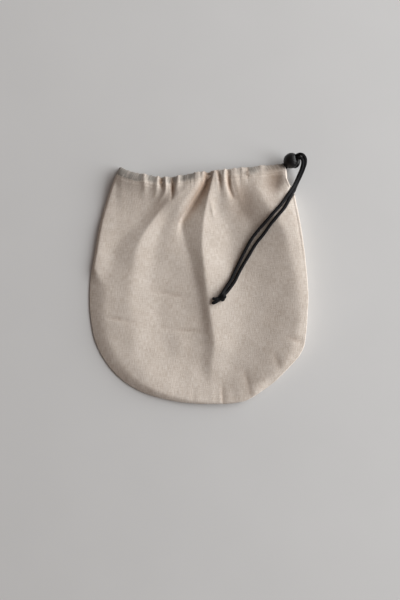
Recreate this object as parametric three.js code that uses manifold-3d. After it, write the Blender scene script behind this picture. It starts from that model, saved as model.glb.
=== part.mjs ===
// A cotton straining bag with a drawstring, lying empty on its back with its mouth towards +Y.
// A front and a rear panel are sewn together along the sides and the bottom. A cord runs in the hems
// around the mouth. Both its ends pass through a sprung ball lock at the right-hand end of the hems and
// lie over the front, where one knot ties them together.
// Millimetres, +Z up. The underside lies on z = 0 and the origin is under the middle of the bag.

import * as THREE from 'three';
import { mergeVertices } from 'three/addons/utils/BufferGeometryUtils.js';
import Module from 'manifold-3d';

const wasm = await Module();
wasm.setup();
const { clamp, degToRad, lerp, smoothstep } = THREE.MathUtils;

// Driving dimensions of the cloth
const CLOTH = 1.1; // thickness of one layer as it lies
const RIM_HEIGHT = 2.6; // height of the sewn edge above the surface
const EDGE_INSET = 0.8; // how far the underside stops short of the edge
const BODY_HEIGHT = 12.5; // how high the front lies, away from its folds
const LOWEST_FOLD = 9; // how high the front lies at its deepest troughs
const MOUTH_RISE = 6.9; // how much higher the front is along its hem
const MOUTH_REACH = 46; // distance over which that rise dies away
const CORNER_DROP = 6; // how much lower the hem is at either end
const CORNERS = { left: [-92, -58], right: [58, 100] }; // where along the mouth it drops
const HEM = 11; // depth of the hem that holds the cord
const HEM_ROLL = 3; // how far the front hem rolls down to the mouth's edge
const GATHER_REACH = 24; // distance over which a gather in the hem dies away
const SHOULDER = { left: 25, right: 15, mouth: 8 }; // width of the rounding inside each edge
const SHOULDER_START = [4, 60]; // distances below the mouth between which the rounding widens
const EDGE_STEPS = 50; // straight steps of an edge where distances to it are measured
const FRONT_COLUMNS = 52;
const FRONT_ROWS = 38;
const ROW_GRADING = 0.55; // how much closer rows stand at the mouth and the bottom
const MOUTH_COLUMNS = 20;
const MOUTH = { floor: 5.8, top: 12, left: 0.17, right: 0.8 }; // heights, and ends as shares of the width
const MOUTH_ROWS = [-8, 0, 5.5, HEM, 20]; // distances below the mouth's edge

// Driving dimensions of the drawstring, its lock and its knot
const CORD = 4; // diameter
const GAP = 0.3; // clearance between neighbours
const OVERRUN = 1.03; // how far the rear panel's room runs past the bag's sides
const LAYER = 320; // side of the square that holds the flat part of that room
const CORD_SIDES = 10;
const CORD_STEP = 6.5; // length of one straight step of a free strand
const HEM_CORD_STEP = 7;
const LOCK_BALL = 8.75; // radius of the lock's body
const LOCK_FLAT = 5; // distance of its flat side from the middle of the ball
const LOCK_CENTRE = new THREE.Vector3(107.8, 143.2, 12.3);
const LOCK_TRAVEL = 3; // press of the button
const PASSAGE_AZIMUTH = degToRad(30); // the cords rise through the ball towards this side
const PASSAGE_TILT = degToRad(45);
const PASSAGE_OFFSET = 1.2; // cord passage, moved from the ball's middle towards the button
const BUTTON_AZIMUTH = degToRad(-12); // the button looks out on this side
const BORE_FLOOR = -5.7; // heights in the lock are measured from the ball's middle towards the button
const PLUNGER = { radius: 5.6, foot: BORE_FLOOR + GAP + LOCK_TRAVEL, cap: LOCK_FLAT + GAP + LOCK_TRAVEL };
const CAP = { radius: 6, rim: 9.2, crown: 10.5 }; // the button on the plunger
const SLOT = { width: 8.9, floor: -1.1, top: 6.5 }; // hole for both cords through the plunger
const COUNTERSINK = { along: 3.9, beside: 6.2, button: 3.9 }; // rounding at each end of the passage
const KNOT_CENTRE = [27.6, -14.4, 19.8];
const KNOT = { long: 5.6, wide: 4.6, tall: 3.9 }; // half sizes
const KNOT_AZIMUTH = degToRad(62); // from the knot to the strands
const KNOT_TURN = { radius: 2.3, lean: 0.35 }; // the turn drawn round the knot
const TURNED_SIDES = 24;
const BALL_STEPS = 12;
const DOME_STEPS = 5;

// Outline of the bag as it lies, each edge from its first corner to its last
const MOUTH_EDGE = [
  [-91.6, 138.2], [-82.5, 132.5], [-60, 124.6], [-43.5, 121.2], [-20.5, 123.4], [-2, 127.9],
  [16.5, 129.2], [37, 131.4], [60, 134.1], [82, 137.2], [98, 139.4],
];
const LEFT_EDGE = [
  [-91.6, 138.2], [-97, 127], [-105.5, 104.4], [-115, 72], [-121, 38.7], [-126, 9], [-127, -19],
  [-125.4, -42], [-120.8, -65], [-112.6, -83.5],
];
const BOTTOM_EDGE = [
  [-112.6, -83.5], [-100.9, -100], [-84.4, -115.3], [-65.6, -126], [-44.4, -133], [-20.9, -137.7],
  [2.6, -139.4], [26, -139.2], [45, -137.6], [61, -132.5], [87.3, -114], [106, -95.4], [116.6, -83.5],
];
const RIGHT_EDGE = [
  [98, 139.4], [102.5, 134], [103.8, 127], [103.6, 121], [106, 115], [110.6, 109], [114.3, 92.8],
  [119, 67], [123.4, 32], [126.8, -8], [126.2, -33], [124.9, -55.3], [122.5, -72], [116.6, -83.5],
];

// Folds of the front, each along its crest or trough from the mouth downwards: how high it stands at
// its start, middle and end, how far its left and right flanks reach, and how pointed its crest is
const FOLDS = [
  { name: 'left fold', height: [2, 6, 1.5], left: 13, right: 24, point: 1.5,
    path: [[-2, 121], [-8, 108], [-34, 92], [-48, 76], [-64, 56], [-78, 30], [-83, 5], [-78, -30],
      [-69, -64]] },
  { name: 'second fold', height: [2.5, 4.5, 0.5], left: 10, right: 12, point: 1.5,
    path: [[0, 124], [-7, 97], [-14, 81], [-27, 56], [-39, 26]] },
  { name: 'deep pleat', height: [-3, -6, -3], left: 7, right: 6, point: 1.8,
    path: [[13, 112], [9.5, 104], [1, 87], [-4.5, 73]] },
  { name: 'centre trough', height: [-2, -3, -1.5], left: 16, right: 6, point: 1.6,
    path: [[-11, 80], [-4.5, 52], [2, 26], [7.5, -6], [12, -41], [14.5, -70], [8.5, -104]] },
  { name: 'centre fold', height: [4, 4, 1], left: 7, right: 32, point: 1.3,
    path: [[18.5, 128], [13, 97], [6, 72], [7.5, 40], [13, 5], [17.5, -29], [21, -64], [16, -90]] },
  { name: 'hem fold', height: [2, 2.5, 0.5], left: 5, right: 5, point: 1.8,
    path: [[29, 129], [30, 103]] },
  { name: 'right hem fold', height: [2, 2.5, 0.5], left: 5, right: 6, point: 1.8,
    path: [[41, 130], [46, 102]] },
  { name: 'right fold', height: [2.5, 4, 1], left: 10, right: 17, point: 1.6,
    path: [[55, 128], [67, 113], [81, 97], [93, 81]] },
  { name: 'right trough', height: [-1.5, -2.5, -1], left: 10, right: 10, point: 1.8,
    path: [[46, 109], [63, 98], [77, 80]] },
  { name: 'far trough', height: [-1, -2.2, -1], left: 20, right: 9, point: 1.8,
    path: [[97, 61], [107.5, 17], [111, -29], [106, -64]] },
  { name: 'left trough', height: [-1.5, -2.5, -1], left: 14, right: 9, point: 1.8,
    path: [[-43.5, 92], [-67, 59], [-88, 26]] },
  { name: 'left bulge', height: [1, 2, 1], left: 14, right: 12, point: 2,
    path: [[-104, 50], [-108, 24]] },
];

// Gathers drawn up in the front hem: where each stands along the mouth, its height and half width
const GATHERS = [
  { x: -75, height: 0.9, reach: 5 }, { x: -60, height: 1.2, reach: 5 }, { x: -45, height: 1.4, reach: 4 },
  { x: -36, height: 1.4, reach: 4 }, { x: -22, height: 1, reach: 6 }, { x: -1, height: 1.6, reach: 6 },
  { x: 19, height: 1.6, reach: 5 }, { x: 32, height: 1.4, reach: 4 }, { x: 44, height: 1.2, reach: 4 },
  { x: 58, height: 0.8, reach: 6 },
];

// Drawstring in the hem: from the lock out along the front, round the left corner and back at the rear
const HEM_CORD = [
  [105.1, 138.8, 8], [103.3, 137.8, 5.9], [101, 136.3, 4.9], [97.6, 134.8, 6.5], [91, 133.4, 8.9],
  [80, 131.2, 11.4], [64, 128.6, 14.5], [44, 126.2, 14.9], [20, 123.6, 14.9], [0, 122, 14.9],
  [-20, 118, 14.9], [-42, 115.7, 14.9], [-60, 118.6, 14.9], [-72, 122.8, 12.2], [-80, 126.4, 9.8],
  [-84.8, 128.6, 8.4],
  [-87, 129.6, 6], [-84.8, 128.6, 3.7], [-80, 126.4, 2.9], [-70, 122.1, 2.9], [-58, 118, 2.9],
  [-42, 115.7, 2.9], [-20, 118, 2.9], [0, 122, 2.9], [24, 124, 2.9], [50, 126.8, 2.9], [74, 130.2, 2.9],
  [86, 132.8, 2.9], [93.4, 136.2, 2.9], [98, 139.6, 2.9], [102, 141.4, 3.6], [104.7, 142.8, 6.4],
];

// Free strands: out of the lock, over its button and down across the front to the knot
const UPPER_STRAND = [
  [105.4, 139, 8.3], [109.3, 141.2, 12.8], [112.3, 143, 16.3], [114.7, 143.2, 18.4], [117.2, 141.7, 19.5],
  [118.8, 139.2, 19.2], [119, 136.2, 17.4], [118.5, 132.2, 14.2], [117.2, 128, 11.7], [115.3, 122.8, 10],
  [112.8, 117.4, 10.4], [109.2, 111.4, 13.8], [104.6, 104.6, 17.6], [99.4, 97.2, 19], [94.1, 90.1, 18.4],
  [86.2, 81.5, 17.3], [78.6, 72.7, 16.5], [69.1, 62.1, 16.9], [61, 51, 17.2], [52.5, 35.1, 17.2],
  [44.6, 18.9, 17.3], [38.5, 6.1, 17.9], [32.4, -3.5, 19.5], [30.1, -6.9, 20.3],
];
const LOWER_STRAND = [
  [105, 142.9, 6.6], [109.4, 145.5, 11.8], [113.7, 148, 16.8], [116.8, 148.4, 19.4], [120.1, 146.7, 20.7],
  [122.4, 143.2, 20], [123.1, 139.4, 17.4], [122.7, 135.8, 13.8], [121.5, 131.6, 10.6], [119.2, 125.6, 7.4],
  [116.4, 119.4, 5.1], [113.9, 113.8, 5.6], [111.6, 109, 8.9], [108.4, 104.5, 13.4], [103.6, 96, 16.3],
  [98.8, 87.6, 16.9], [91.3, 78.6, 16.6], [83.3, 69, 15.9], [75.2, 57.4, 16.4], [66.8, 46.9, 16.7],
  [58, 32.2, 16.8], [49, 16.8, 17], [42.5, 3.9, 17.2], [35.4, -6, 17.5], [32.9, -8.8, 17.5],
];
const KNOT_TAILS = [
  [[25, -15.4, 19.7], [20.6, -16.4, 19.1], [16.4, -16, 17.9]],
  [[25.4, -16.8, 19.1], [20.8, -19.8, 18.5], [16.2, -22, 17.5]],
];

// Shapes shared by the pieces

function spline(points) {
  return new THREE.SplineCurve(points.map(([x, y]) => new THREE.Vector2(x, y)));
}

function route(points) {
  return new THREE.CatmullRomCurve3(points.map(([x, y, z]) => new THREE.Vector3(x, y, z)));
}

function circle(radius) {
  return new THREE.Shape(new THREE.EllipseCurve(0, 0, radius, radius).getPoints(CORD_SIDES).slice(0, -1));
}

// Round bar along a route
function bar(path, radius, step) {
  const steps = Math.round(path.getLength() / step);
  return new THREE.ExtrudeGeometry(circle(radius), { steps, extrudePath: path, bevelEnabled: false });
}

function solid(geometry) {
  const bare = geometry.clone();
  bare.deleteAttribute('normal');
  bare.deleteAttribute('uv');
  const merged = mergeVertices(bare);
  const vertProperties = new Float32Array(merged.attributes.position.array);
  const triVerts = new Uint32Array(merged.index.array);
  return new wasm.Manifold(new wasm.Mesh({ numProp: 3, vertProperties, triVerts }));
}

function geometryOf(body) {
  const mesh = body.getMesh();
  const geometry = new THREE.BufferGeometry();
  geometry.setAttribute('position', new THREE.Float32BufferAttribute(mesh.vertProperties, 3));
  geometry.setIndex(Array.from(mesh.triVerts));
  return geometry;
}

function piece(name, geometry, material) {
  const mesh = new THREE.Mesh(geometry, material);
  mesh.name = name;
  return mesh;
}

// Nearest place on a path: its distance, its share of the way along, and whether it lies on the path's
// left (-1) or right (1) as seen on the bag with the mouth at the top
function nearestOn(path, x, y) {
  let nearest = { distance: Infinity };
  for (let i = 1; i < path.length; i++) {
    const [startX, startY] = path[i - 1];
    const [runX, runY] = [path[i][0] - startX, path[i][1] - startY];
    const [fromX, fromY] = [x - startX, y - startY];
    const length = Math.hypot(runX, runY);
    const share = clamp((fromX * runX + fromY * runY) / length ** 2, 0, 1);
    const distance = Math.hypot(fromX - runX * share, fromY - runY * share);
    if (distance < nearest.distance) {
      const side = (runX * fromY - runY * fromX) / Math.max(length * distance, 1e-6);
      nearest = { distance, along: (i - 1 + share) / (path.length - 1), side: clamp(side, -1, 1) };
    }
  }
  return nearest;
}

// The bag's outline and its front

const mouthEdge = spline(MOUTH_EDGE);
const leftEdge = spline(LEFT_EDGE);
const bottomEdge = spline(BOTTOM_EDGE);
const rightEdge = spline(RIGHT_EDGE);
const linePoints = (curve, count) => curve.getSpacedPoints(count).map(({ x, y }) => [x, y]);
const mouthLine = linePoints(mouthEdge, EDGE_STEPS);
const sewnLine = [
  ...linePoints(leftEdge, EDGE_STEPS),
  ...linePoints(bottomEdge, EDGE_STEPS),
  ...linePoints(rightEdge, EDGE_STEPS).reverse(),
];
const bagLength = mouthEdge.getPointAt(0.5).y - bottomEdge.getPointAt(0.5).y;
const leftEdgeX = leftEdge.getPointAt(0.5).x;
const rightEdgeX = rightEdge.getPointAt(0.5).x;

// Place on the bag: share of the way across from left to right, and down from mouth to bottom
function placeOnBag(across, down) {
  const mouth = mouthEdge.getPointAt(across);
  const bottom = bottomEdge.getPointAt(across);
  const left = leftEdge.getPointAt(down);
  const right = rightEdge.getPointAt(down);
  const mouthChord = mouthEdge.getPointAt(0).lerp(mouthEdge.getPointAt(1), across);
  const bottomChord = bottomEdge.getPointAt(0).lerp(bottomEdge.getPointAt(1), across);
  const lengthwise = mouth.lerp(bottom, down);
  const crosswise = left.lerp(right, across);
  return lengthwise.add(crosswise).sub(mouthChord.lerp(bottomChord, down));
}

function foldHeight(fold, x, y) {
  const { distance, along, side } = nearestOn(fold.path, x, y);
  const [start, middle, end] = fold.height;
  const level = along < 0.5 ? lerp(start, middle, along * 2) : lerp(middle, end, along * 2 - 1);
  const reach = lerp(fold.left, fold.right, (side + 1) / 2);
  return level * Math.exp(-((distance / reach) ** fold.point));
}

// Top of the front layer
function frontHeight(x, y) {
  const edge = nearestOn(sewnLine, x, y).distance;
  const mouth = nearestOn(mouthLine, x, y).distance;
  const corner = 1 - smoothstep(x, ...CORNERS.left) + smoothstep(x, ...CORNERS.right);
  let height = BODY_HEIGHT + MOUTH_RISE * Math.exp(-Math.max(mouth - HEM, 0) / MOUTH_REACH);
  height -= CORNER_DROP * corner * Math.exp(-mouth / MOUTH_REACH);
  height -= HEM_ROLL * Math.max(1 - mouth / HEM, 0) ** 1.5;
  for (const fold of FOLDS) {
    height += foldHeight(fold, x, y);
  }
  for (const gather of GATHERS) {
    const beside = Math.exp(-(((x - gather.x) / gather.reach) ** 2));
    height += gather.height * beside * Math.exp(-mouth / GATHER_REACH);
  }
  height = Math.max(height, LOWEST_FOLD);
  const sideShoulder = lerp(SHOULDER.left, SHOULDER.right, smoothstep(x, leftEdgeX, rightEdgeX));
  const shoulder = lerp(SHOULDER.mouth, sideShoulder, smoothstep(mouth, ...SHOULDER_START));
  const inward = Math.min(edge / shoulder, 1);
  return RIM_HEIGHT + (height - RIM_HEIGHT) * Math.sqrt(1 - (1 - inward) ** 2);
}

// Underside of the front layer, one thickness of cloth in from its top
function frontLining(x, y) {
  const here = frontHeight(x, y);
  const slopeX = frontHeight(x + 1, y) - here;
  const slopeY = frontHeight(x, y + 1) - here;
  return here - CLOTH * Math.hypot(1, slopeX, slopeY);
}

// Grid of places with its outer ring, which runs anticlockwise as seen from above
function gridRing(columns, rows) {
  const at = (column, row) => row * (columns + 1) + column;
  const ring = [];
  for (let row = 0; row < rows; row++) {
    ring.push(at(0, row));
  }
  for (let column = 0; column < columns; column++) {
    ring.push(at(column, rows));
  }
  for (let row = rows; row > 0; row--) {
    ring.push(at(columns, row));
  }
  for (let column = columns; column > 0; column--) {
    ring.push(at(column, 0));
  }
  return ring;
}

// Triangles of a grid that face up
function gridFaces(columns, rows) {
  const faces = [];
  for (let row = 0; row < rows; row++) {
    for (let column = 0; column < columns; column++) {
      const corner = row * (columns + 1) + column;
      const below = corner + columns + 1;
      faces.push(corner, below, below + 1, corner, below + 1, corner + 1);
    }
  }
  return faces;
}

// Wall between a ring and the matching ring below it
function wallFaces(upper, lower) {
  const faces = [];
  for (let i = 0; i < upper.length; i++) {
    const next = (i + 1) % upper.length;
    faces.push(lower[i], lower[next], upper[next], lower[i], upper[next], upper[i]);
  }
  return faces;
}

// Closed form between a grid of points and a flat ring below its edge
function closedForm(points, columns, rows, lowerPoints) {
  const ring = gridRing(columns, rows);
  const lowerRing = ring.map((index, i) => points.length + i);
  const outline = lowerPoints.map(({ x, y }) => new THREE.Vector2(x, y));
  const flat = THREE.ShapeUtils.triangulateShape(outline, []);
  const floor = flat.flatMap(([a, b, c]) => [lowerRing[a], lowerRing[c], lowerRing[b]]);
  const geometry = new THREE.BufferGeometry().setFromPoints([...points, ...lowerPoints]);
  geometry.setIndex([...gridFaces(columns, rows), ...wallFaces(ring, lowerRing), ...floor]);
  return geometry;
}

// The same with the flat ring straight below the grid's edge
function straightForm(points, columns, rows, floor) {
  const lowerPoints = gridRing(columns, rows).map((index) => points[index].clone().setZ(floor));
  return closedForm(points, columns, rows, lowerPoints);
}

// Share of the way down to a row of the front
function rowShare(row) {
  const even = row / FRONT_ROWS;
  return lerp(even, (1 - Math.cos(Math.PI * even)) / 2, ROW_GRADING);
}

// Part of the front between two columns and from a first row down to a last one, at a height by place
function frontPoints(firstColumn, lastColumn, firstRow, lastRow, heightAt) {
  const points = [];
  for (let row = firstRow; row <= lastRow; row++) {
    for (let column = firstColumn; column <= lastColumn; column++) {
      const { x, y } = placeOnBag(column / FRONT_COLUMNS, rowShare(row));
      points.push(new THREE.Vector3(x, y, heightAt(x, y)));
    }
  }
  return points;
}

// Bag filled solid: the folded front, the edge all round, and the flat underside
function filledBag() {
  const points = frontPoints(0, FRONT_COLUMNS, 0, FRONT_ROWS, frontHeight);
  const edge = gridRing(FRONT_COLUMNS, FRONT_ROWS).map((index) => points[index]);
  const underside = edge.map(({ x, y }, i) => {
    const before = edge.at(i - 1);
    const after = edge[(i + 1) % edge.length];
    const inward = new THREE.Vector2(before.y - after.y, after.x - before.x).setLength(EDGE_INSET);
    return new THREE.Vector3(x + inward.x, y + inward.y, 0);
  });
  return closedForm(points, FRONT_COLUMNS, FRONT_ROWS, underside);
}

// Room inside the bag below its hems, under the front panel
function bagInside() {
  let firstRow = 0;
  while (rowShare(firstRow) * bagLength < HEM) {
    firstRow += 1;
  }
  const lastRow = FRONT_ROWS - 1;
  const lastColumn = FRONT_COLUMNS - 1;
  const points = frontPoints(1, lastColumn, firstRow, lastRow, frontLining);
  return straightForm(points, lastColumn - 1, lastRow - firstRow, CLOTH);
}

// Flat block that follows the mouth between two shares of its width, over rows below its edge
function mouthBlock(left, right, rowsBelow, floor, top) {
  const points = [];
  for (const below of rowsBelow) {
    for (let column = 0; column <= MOUTH_COLUMNS; column++) {
      const across = lerp(left, right, column / MOUTH_COLUMNS);
      const { x, y } = placeOnBag(across, Math.max(below, 0) / bagLength);
      points.push(new THREE.Vector3(x, y - Math.min(below, 0), top));
    }
  }
  return straightForm(points, MOUTH_COLUMNS, rowsBelow.length - 1, floor);
}

// Room of the rear panel, grown by a clearance: a flat layer with its hem, past the edge all round
function rearRoom(clearance) {
  const top = CLOTH + clearance;
  const layer = new THREE.BoxGeometry(LAYER, LAYER, 2 * top);
  const rows = [-HEM, 0, HEM / 2, HEM + 5 * clearance];
  const hem = mouthBlock(0, 1, rows, -top, MOUTH.floor + clearance).scale(OVERRUN, 1, 1);
  return solid(layer).add(solid(hem));
}

// The ball lock, built about its own middle: X along the cord passage and Z towards the button

function direction(azimuth, tilt) {
  const flat = Math.cos(tilt);
  return new THREE.Vector3(flat * Math.cos(azimuth), flat * Math.sin(azimuth), Math.sin(tilt));
}

function turned(profile) {
  const points = profile.map(([radius, height]) => new THREE.Vector2(radius, height));
  return new THREE.LatheGeometry(points, TURNED_SIDES).rotateX(Math.PI / 2);
}

// Hole through the lock along X, its corners rounded to the cord
function lockHole(width, floor, top, length) {
  const radius = CORD / 2 + GAP;
  const half = width / 2 - radius;
  const rise = (top - floor) / 2 - radius;
  const shape = new THREE.Shape();
  shape.absarc(half, rise, radius, 0, Math.PI / 2);
  shape.absarc(-half, rise, radius, Math.PI / 2, Math.PI);
  shape.absarc(-half, -rise, radius, Math.PI, Math.PI * 1.5);
  shape.absarc(half, -rise, radius, Math.PI * 1.5, Math.PI * 2);
  const hole = new THREE.ExtrudeGeometry(shape, { depth: length, curveSegments: 5, bevelEnabled: false });
  hole.translate(0, (floor + top) / 2, -length / 2);
  return hole.rotateX(Math.PI / 2).rotateZ(Math.PI / 2);
}

function lockBody() {
  const boreRadius = PLUNGER.radius + GAP;
  const rimAngle = Math.asin(LOCK_FLAT / LOCK_BALL);
  const profile = [];
  for (let i = 0; i <= BALL_STEPS; i++) {
    const angle = lerp(-Math.PI / 2, rimAngle, i / BALL_STEPS);
    profile.push([LOCK_BALL * Math.cos(angle), LOCK_BALL * Math.sin(angle)]);
  }
  profile[0][0] = 0;
  profile.push([boreRadius, LOCK_FLAT], [boreRadius, BORE_FLOOR], [0, BORE_FLOOR]);
  const room = CORD / 2 + GAP;
  const width = 2 * CORD + 3 * GAP;
  const passage = lockHole(width, PASSAGE_OFFSET - room, PASSAGE_OFFSET + room, 3 * LOCK_BALL);
  let body = solid(turned(profile)).subtract(solid(passage));
  for (const end of [-LOCK_BALL, LOCK_BALL]) {
    const sink = new THREE.SphereGeometry(1, 14, 10);
    sink.scale(COUNTERSINK.along, COUNTERSINK.beside, COUNTERSINK.button);
    body = body.subtract(solid(sink.translate(end, 0, PASSAGE_OFFSET)));
  }
  return geometryOf(body);
}

function lockPlunger() {
  const { radius, foot, cap } = PLUNGER;
  const profile = [[0, foot], [radius, foot], [radius, cap], [CAP.radius, cap], [CAP.radius, CAP.rim]];
  for (let i = 1; i <= DOME_STEPS; i++) {
    const angle = (Math.PI / 2) * (i / DOME_STEPS);
    profile.push([CAP.radius * Math.cos(angle), lerp(CAP.rim, CAP.crown, Math.sin(angle))]);
  }
  profile.at(-1)[0] = 0;
  const slot = lockHole(SLOT.width, SLOT.floor, SLOT.top, 4 * radius);
  return geometryOf(solid(turned(profile)).subtract(solid(slot)));
}

// Overhand knot: a lump with one turn of the cord drawn round it, and both cut ends
function cordKnot() {
  const lump = new THREE.SphereGeometry(1, 18, 12).scale(KNOT.long, KNOT.wide, KNOT.tall);
  const turn = new THREE.TorusGeometry(KNOT_TURN.radius, CORD / 2, 8, 18);
  turn.rotateY(Math.PI / 2).rotateZ(KNOT_TURN.lean);
  let knot = solid(lump).add(solid(turn));
  knot = solid(geometryOf(knot).rotateZ(KNOT_AZIMUTH).translate(...KNOT_CENTRE));
  for (const tail of KNOT_TAILS) {
    knot = knot.add(solid(bar(route(tail), CORD / 2, CORD)));
  }
  return geometryOf(knot);
}

const cotton = new THREE.MeshStandardMaterial({ color: 0xc9bba9, roughness: 0.95, metalness: 0 });
const blackCord = new THREE.MeshStandardMaterial({ color: 0x17181a, roughness: 0.8, metalness: 0 });
const blackPlastic = new THREE.MeshStandardMaterial({ color: 0x1b1d20, roughness: 0.45, metalness: 0 });

// Both panels come from the filled bag: the rear one keeps its own room, the front one all above it
const hemRoute = route(HEM_CORD);
const tunnel = solid(bar(hemRoute, CORD / 2 + GAP, HEM_CORD_STEP));
const lockRoom = solid(new THREE.SphereGeometry(LOCK_BALL + 2 * GAP, 24, 16).translate(...LOCK_CENTRE));
const filled = solid(filledBag()).subtract(tunnel).subtract(lockRoom);
const mouthSlot = mouthBlock(MOUTH.left, MOUTH.right, MOUTH_ROWS, MOUTH.floor, MOUTH.top);
const rearPanel = filled.intersect(rearRoom(0));
const frontPanel = filled.subtract(rearRoom(GAP)).subtract(solid(bagInside())).subtract(solid(mouthSlot));

const passageAxis = direction(PASSAGE_AZIMUTH, PASSAGE_TILT);
const buttonTilt = Math.atan(-Math.cos(PASSAGE_AZIMUTH - BUTTON_AZIMUTH) / Math.tan(PASSAGE_TILT));
const buttonAxis = direction(BUTTON_AZIMUTH, buttonTilt);
const sideAxis = new THREE.Vector3().crossVectors(buttonAxis, passageAxis);
const lock = new THREE.Group();
lock.quaternion.setFromRotationMatrix(new THREE.Matrix4().makeBasis(passageAxis, sideAxis, buttonAxis));
lock.position.copy(LOCK_CENTRE);
lock.add(piece('lock_body', lockBody(), blackPlastic));
lock.add(piece('lock_plunger', lockPlunger(), blackPlastic));

const bag = new THREE.Group();
bag.add(piece('front_panel', geometryOf(frontPanel), cotton));
bag.add(piece('rear_panel', geometryOf(rearPanel), cotton));
bag.add(piece('hem_cord', bar(hemRoute, CORD / 2, HEM_CORD_STEP), blackCord));
bag.add(piece('upper_strand', bar(route(UPPER_STRAND), CORD / 2, CORD_STEP), blackCord));
bag.add(piece('lower_strand', bar(route(LOWER_STRAND), CORD / 2, CORD_STEP), blackCord));
bag.add(piece('cord_knot', cordKnot(), blackCord));
bag.add(lock);

export default bag;
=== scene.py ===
import math

import bmesh
import bpy
import numpy as np
from mathutils import Matrix, Vector


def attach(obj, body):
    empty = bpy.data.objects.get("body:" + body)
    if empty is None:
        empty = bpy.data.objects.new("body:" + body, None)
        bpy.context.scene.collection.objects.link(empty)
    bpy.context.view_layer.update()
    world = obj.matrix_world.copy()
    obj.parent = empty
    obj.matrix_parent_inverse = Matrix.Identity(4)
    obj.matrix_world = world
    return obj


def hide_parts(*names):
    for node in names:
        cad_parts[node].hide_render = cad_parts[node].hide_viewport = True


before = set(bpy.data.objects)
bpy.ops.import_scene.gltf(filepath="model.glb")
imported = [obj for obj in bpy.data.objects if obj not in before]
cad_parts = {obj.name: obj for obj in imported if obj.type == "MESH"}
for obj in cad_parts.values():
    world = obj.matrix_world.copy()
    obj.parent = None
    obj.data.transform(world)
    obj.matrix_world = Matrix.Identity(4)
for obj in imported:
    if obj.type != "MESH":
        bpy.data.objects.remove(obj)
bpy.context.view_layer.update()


# Front panel: a U of unbleached cotton muslin, cut wider than it lies and drawn up in gathers at the mouth,
# where its edge is turned in and stitched down as a hem for the drawstring. Its sides and bottom are sewn to
# the rear panel with the seam turned inside, and it lies slack in folds that fall from the gathers.

CLOTH = 0.0007
HEM = 0.0125
CUT_WIDTH, CUT_LENGTH, CUT_AREA = 0.262, 0.31, 0.0765
MOUTH_WIDTH = 0.19
# The outline of the bag as it lies: the mouth and bottom from left to right, the sides from the mouth down.
MOUTH_EDGE = [
    (-0.0916, 0.1382), (-0.079, 0.1322), (-0.067, 0.1288), (-0.055, 0.1264), (-0.0435, 0.1242),
    (-0.03, 0.1244), (-0.0205, 0.1258), (-0.002, 0.129), (0.011, 0.1303), (0.0235, 0.132),
    (0.037, 0.1332), (0.06, 0.1362), (0.082, 0.1392), (0.0995, 0.1416),
]
LEFT_EDGE = [
    (-0.0916, 0.1382), (-0.097, 0.127), (-0.1055, 0.1044), (-0.115, 0.072), (-0.121, 0.0387),
    (-0.126, 0.009), (-0.127, -0.019), (-0.1254, -0.042), (-0.1208, -0.065), (-0.1126, -0.0835),
]
BOTTOM_EDGE = [
    (-0.1126, -0.0835), (-0.1009, -0.1), (-0.0844, -0.1153), (-0.0656, -0.126),
    (-0.0444, -0.133), (-0.0209, -0.1377), (0.0026, -0.1394), (0.026, -0.1392),
    (0.045, -0.1376), (0.061, -0.1325), (0.0873, -0.114), (0.106, -0.0954), (0.1166, -0.0835),
]
RIGHT_EDGE = [
    (0.0995, 0.1416), (0.103, 0.135), (0.1038, 0.127), (0.1036, 0.121), (0.106, 0.115),
    (0.1106, 0.109), (0.1143, 0.0928), (0.119, 0.067), (0.1234, 0.032), (0.1268, -0.008),
    (0.1262, -0.033), (0.1249, -0.0553), (0.1225, -0.072), (0.1166, -0.0835),
]
EDGE_POINTS = 81
STEPS_BETWEEN = 24


def smooth_line(points, count):
    """Evenly spaced places on a smooth curve through given points."""
    points = np.array(points, float)
    beyond = np.vstack([2 * points[0] - points[1], points, 2 * points[-1] - points[-2]])
    before, start, end, after = (beyond[i : i + len(points) - 1, None] for i in range(4))
    t = np.linspace(0, 1, STEPS_BETWEEN, endpoint=False)[None, :, None]
    curve = start + (end - before) * t / 2
    curve = curve + (2 * before - 5 * start + 4 * end - after) * t**2 / 2
    curve = curve + (3 * start - before - 3 * end + after) * t**3 / 2
    curve = np.vstack([curve.reshape(-1, points.shape[1]), points[-1:]])
    run = np.append(0, np.cumsum(np.linalg.norm(np.diff(curve, axis=0), axis=1)))
    even = np.linspace(0, run[-1], count)
    return np.stack([np.interp(even, run, axis) for axis in curve.T], axis=1)


def along_line(line, share):
    """The places at these shares of an evenly spaced line's length."""
    marks = np.linspace(0, 1, len(line))
    return np.stack([np.interp(share, marks, axis) for axis in line.T], axis=-1)


def nearest_on(line, x, y):
    """Distance to a line, the nearest share along it, and the side: 1 is right of a line that runs down."""
    runs = np.diff(line, axis=0)
    lengths = np.hypot(runs[:, 0], runs[:, 1])
    from_x = x[:, None] - line[:-1, 0]
    from_y = y[:, None] - line[:-1, 1]
    share = np.clip((from_x * runs[:, 0] + from_y * runs[:, 1]) / lengths**2, 0, 1)
    gaps = np.hypot(from_x - share * runs[:, 0], from_y - share * runs[:, 1])
    nearest = gaps.argmin(axis=1)
    point = np.arange(len(x))
    distance = gaps[point, nearest]
    across = runs[nearest, 0] * from_y[point, nearest] - runs[nearest, 1] * from_x[point, nearest]
    side = np.clip(across / np.maximum(lengths[nearest] * distance, 1e-9), -1, 1)
    return distance, (nearest + share[point, nearest]) / len(runs), side


def smoothstep(value, start, end):
    """0 up to the start, 1 from the end on, and smooth between them."""
    share = np.clip((value - start) / (end - start), 0, 1)
    return share * share * (3 - 2 * share)


def between(first, second, share):
    """The value at a share of the way from the first to the second."""
    return first + (second - first) * share


def uneven_wave(place, rate, sway, sway_rate, start=0):
    """A wave along a place, with its crests swayed to and fro so that they aren't evenly spaced."""
    return np.sin(place * rate + sway * np.sin(place * sway_rate + start))


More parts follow.
